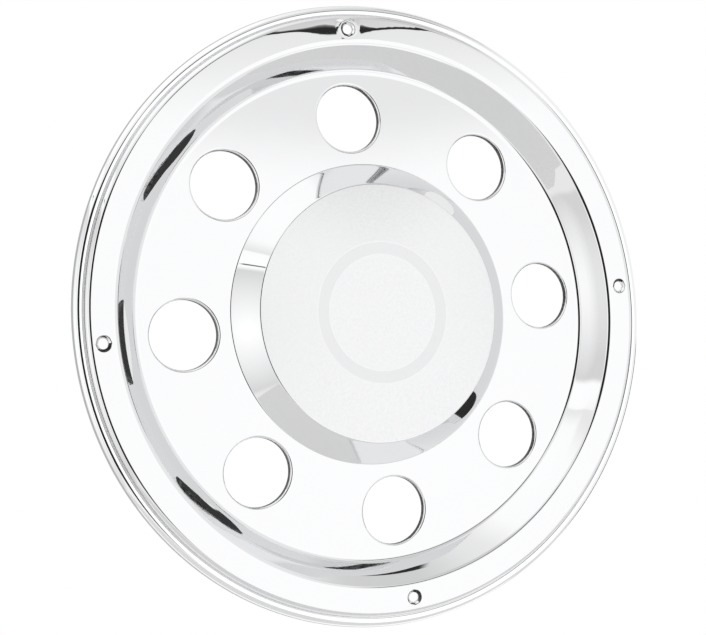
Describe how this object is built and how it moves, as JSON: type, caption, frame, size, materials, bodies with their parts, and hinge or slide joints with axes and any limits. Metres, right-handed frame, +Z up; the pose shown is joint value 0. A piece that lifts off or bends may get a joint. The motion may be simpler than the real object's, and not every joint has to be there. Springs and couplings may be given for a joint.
{
  "type": "truck wheel simulator",
  "caption": "Polished stainless cover for a truck wheel: a shallow pressed dish with a rolled rim, screw seats in its flange, round hand holes and a low centre dome.",
  "frame": {"origin": "on the wheel axis, at the centre of the screw circle, in the plane of the backs of the screw seats", "axes": "+Y along the wheel axis towards the wheel, so the show face looks along -Y; +Z up as fitted, through a hand hole and a screw seat; +X to the right as seen from the front"},
  "size_m": [0.588, 0.0342, 0.588],
  "materials": {
    "polished_stainless": "mirror polished, satin on the dome top"
  },
  "bodies": {
    "root": {"wheel_cover": "polished_stainless"}
  },
  "joints": []
}
